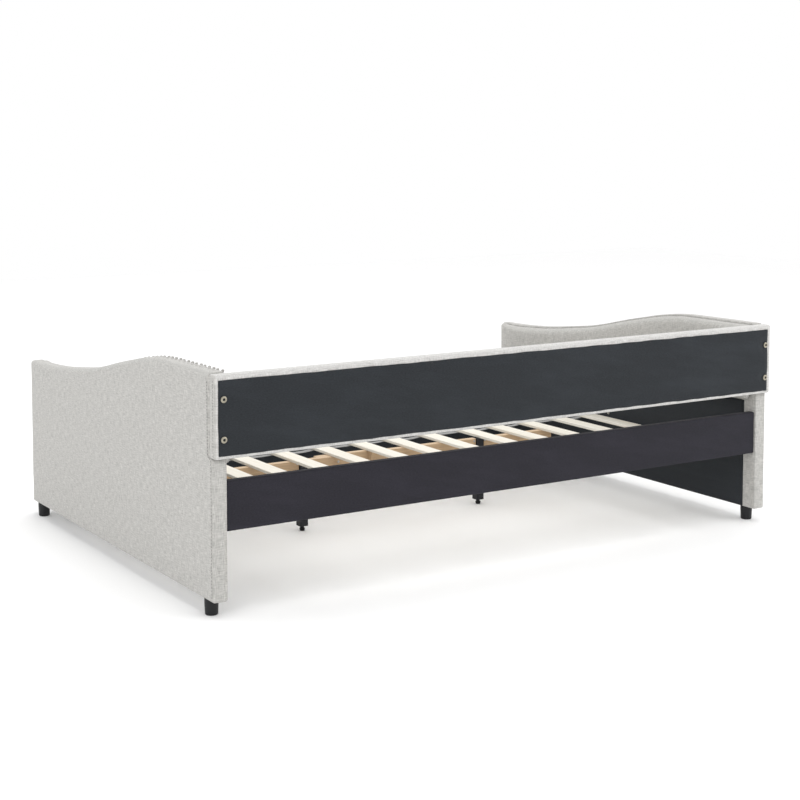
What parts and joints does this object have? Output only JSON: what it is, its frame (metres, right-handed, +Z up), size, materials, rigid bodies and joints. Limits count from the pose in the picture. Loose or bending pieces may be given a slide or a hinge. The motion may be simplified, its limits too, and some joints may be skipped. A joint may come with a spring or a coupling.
{
  "type": "daybed frame",
  "caption": "Upholstered daybed frame with wave-topped arms, a bolted low back panel, rails, a slatted base and a centre beam on levelling legs.",
  "frame": {"origin": "on the floor, at the middle of the overall length and depth", "axes": "+X along the length, -Y towards the open front, +Y towards the back panel, +Z up"},
  "size_m": [2.08, 1.4842, 0.685],
  "materials": {
    "black_plastic": "moulded, fine texture",
    "black_steel": "satin powder coat",
    "dust_cloth": "non-woven dust cloth",
    "linen": "woven linen-look cloth",
    "linen_border": "woven linen-look cloth, rolled over the edge",
    "nickel": "nickel-brass plated",
    "pine": "planed, unfinished",
    "plywood": "plywood, unfinished",
    "rail_cloth": "non-woven cloth drawn tight",
    "webbing": "woven tape",
    "zinc": "zinc plated"
  },
  "bodies": {
    "frame": {"arm_l_board": "linen", "arm_l_lining": "dust_cloth", "arm_l_pad": "linen", "arm_l_strap_screw": "zinc", "arm_r_board": "linen", "arm_r_lining": "dust_cloth", "arm_r_pad": "linen", "arm_r_strap_screw": "zinc", "back_board": "linen_border", "back_bolt_l1": "nickel", "back_bolt_l2": "nickel", "back_bolt_r1": "nickel", "back_bolt_r2": "nickel", "back_cushion": "linen", "back_dust_cover": "dust_cloth", "beam_batten_1": "plywood", "beam_batten_2": "plywood", "beam_batten_3": "plywood", "beam_batten_4": "plywood", "beam_lap_screw": "zinc", "beam_splice": "plywood", "foot_front_l": "black_plastic", "foot_front_r": "black_plastic", "foot_rear_l": "black_plastic", "foot_rear_r": "black_plastic", "front_ledge": "black_steel", "front_rail": "linen", "front_rail_lining": "dust_cloth", "leg_1_plate": "black_steel", "leg_1_screw_a": "zinc", "leg_1_screw_b": "zinc", "leg_1_tube": "black_steel", "leg_2_plate": "black_steel", "leg_2_screw_a": "zinc", "leg_2_screw_b": "zinc", "leg_2_tube": "black_steel", "rear_ledge": "black_steel", "rear_rail": "rail_cloth", "slat_01": "pine", "slat_02": "pine", "slat_03": "pine", "slat_04": "pine", "slat_05": "pine", "slat_06": "pine", "slat_07": "pine", "slat_08": "pine", "slat_09": "pine", "slat_10": "pine", "slat_11": "pine", "slat_12": "pine", "slat_13": "pine", "slat_14": "pine", "slat_strap_1": "webbing", "slat_strap_2": "webbing", "slat_strap_3": "webbing"},
    "levelling_pad_1": {"leg_1_pad": "black_plastic"},
    "levelling_stud_1": {"leg_1_stud": "black_steel"},
    "levelling_pad_2": {"leg_2_pad": "black_plastic"},
    "levelling_stud_2": {"leg_2_stud": "black_steel"}
  },
  "joints": [
    {"name": "leg_1_height", "type": "slide", "parent": "frame", "child": "levelling_pad_1", "axis": [0, 0, 1], "range_m": [-0.012, 0.003]},
    {"name": "leg_1_turn", "type": "hinge", "parent": "levelling_pad_1", "child": "levelling_stud_1", "pos_m": [0.36, -0.0167, 0.0103], "axis": [0, 0, 1], "range_deg": [-3460, 868]},
    {"name": "leg_2_height", "type": "slide", "parent": "frame", "child": "levelling_pad_2", "axis": [0, 0, 1], "range_m": [-0.012, 0.003]},
    {"name": "leg_2_turn", "type": "hinge", "parent": "levelling_pad_2", "child": "levelling_stud_2", "pos_m": [-0.36, -0.0167, 0.0103], "axis": [0, 0, 1], "range_deg": [-3460, 868]}
  ],
  "couplings": [
    {"joint": "leg_1_turn", "follows": "leg_1_height", "rad_per_m": 5026.5},
    {"joint": "leg_2_turn", "follows": "leg_2_height", "rad_per_m": 5026.5}
  ]
}
